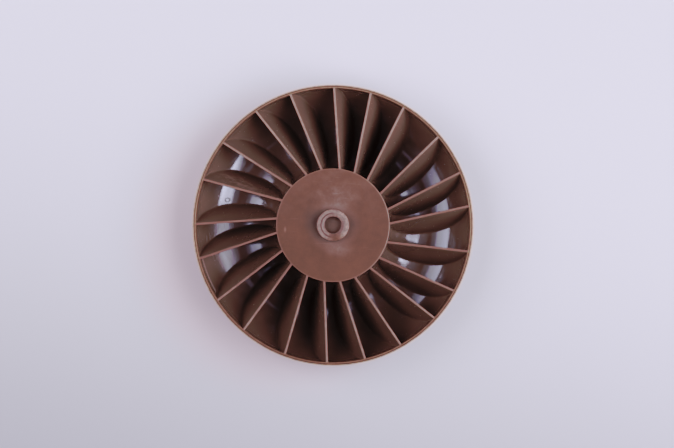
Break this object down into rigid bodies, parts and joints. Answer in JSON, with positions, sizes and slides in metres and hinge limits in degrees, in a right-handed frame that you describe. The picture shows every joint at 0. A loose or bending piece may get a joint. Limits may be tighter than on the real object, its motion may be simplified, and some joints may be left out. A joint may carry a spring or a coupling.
{
  "type": "blower impeller",
  "caption": "Regenerative blower impeller: straight-topped, twisted vanes in a half-torus channel between a flat hub disc with a raised boss and a thin outer rim.",
  "frame": {"origin": "on the shaft axis, in the plane of the flat back that the wheel lies on", "axes": "+Z along the shaft axis, out of the vaned face; +Y towards the top of the picture and +X towards its right"},
  "size_m": [0.17, 0.17, 0.0313],
  "materials": {
    "machined_face": "faced after moulding, dull, with fine turning marks",
    "moulded_channel": "glossy as moulded",
    "boss_face": "worn smooth, with light edges"
  },
  "bodies": {
    "root": {"outer_rim": "machined_face", "outer_channel_wall": "moulded_channel", "channel_floor": "moulded_channel", "inner_channel_wall": "moulded_channel", "hub_disc": "machined_face", "front_boss": "boss_face", "hub_core": "moulded_channel", "vane_01": "moulded_channel", "vane_02": "moulded_channel", "vane_03": "moulded_channel", "vane_04": "moulded_channel", "vane_05": "moulded_channel", "vane_06": "moulded_channel", "vane_07": "moulded_channel", "vane_08": "moulded_channel", "vane_09": "moulded_channel", "vane_10": "moulded_channel", "vane_11": "moulded_channel", "vane_12": "moulded_channel", "vane_13": "moulded_channel", "vane_14": "moulded_channel", "vane_15": "moulded_channel", "vane_16": "moulded_channel", "vane_17": "moulded_channel", "vane_18": "moulded_channel", "vane_19": "moulded_channel", "vane_20": "moulded_channel", "vane_21": "moulded_channel"}
  },
  "joints": []
}
